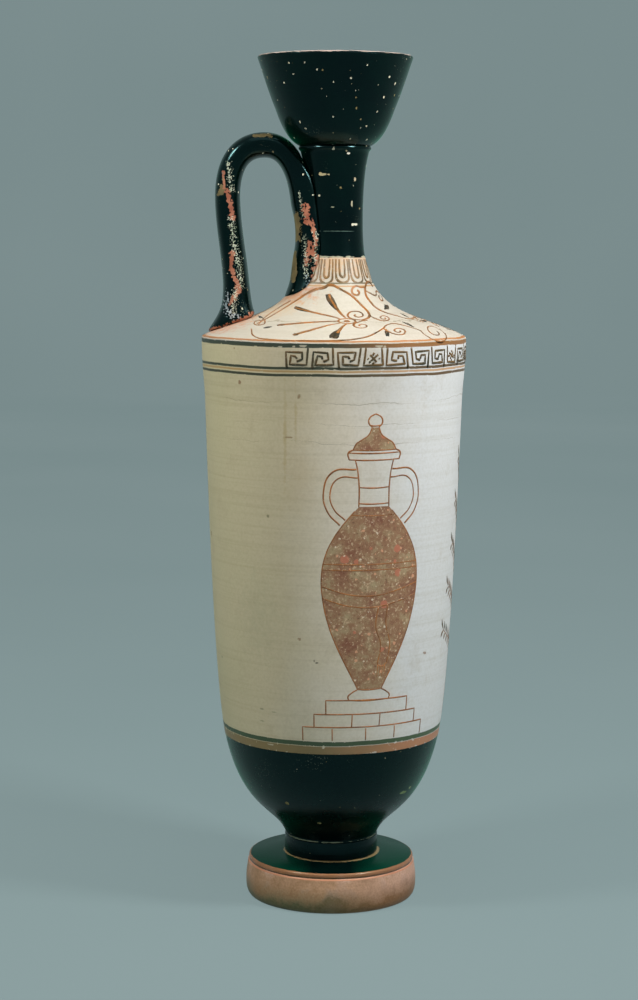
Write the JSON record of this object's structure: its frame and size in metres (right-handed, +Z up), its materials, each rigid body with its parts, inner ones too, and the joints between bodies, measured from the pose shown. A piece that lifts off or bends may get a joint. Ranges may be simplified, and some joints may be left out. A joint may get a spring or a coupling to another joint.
{
  "type": "lekythos",
  "caption": "Tall clay oil flask with a cup-shaped mouth, slim neck, strap handle, cylindrical white-slipped body, bowl-shaped base and disc foot.",
  "frame": {"origin": "centre of the resting ring, on the surface that the flask stands on", "axes": "+Z up along the turning axis; the handle stands on the -X side and the painted front faces +X"},
  "size_m": [0.1124, 0.1124, 0.36],
  "materials": {
    "reserved_clay": "fired iron-rich clay, turned and left bare, matt with brown stains",
    "black_gloss": "sintered black slip over fired clay, glossy with a green-black tint, flaked where worn",
    "white_slip": "smooth white clay slip over fired clay, matt to satin, with painted black and golden-brown lines"
  },
  "bodies": {
    "root": {"foot": "reserved_clay", "stem_fillet": "black_gloss", "lower_body": "black_gloss", "body_wall": "white_slip", "shoulder": "white_slip", "neck": "black_gloss", "mouth": "black_gloss", "handle": "black_gloss"}
  },
  "joints": []
}
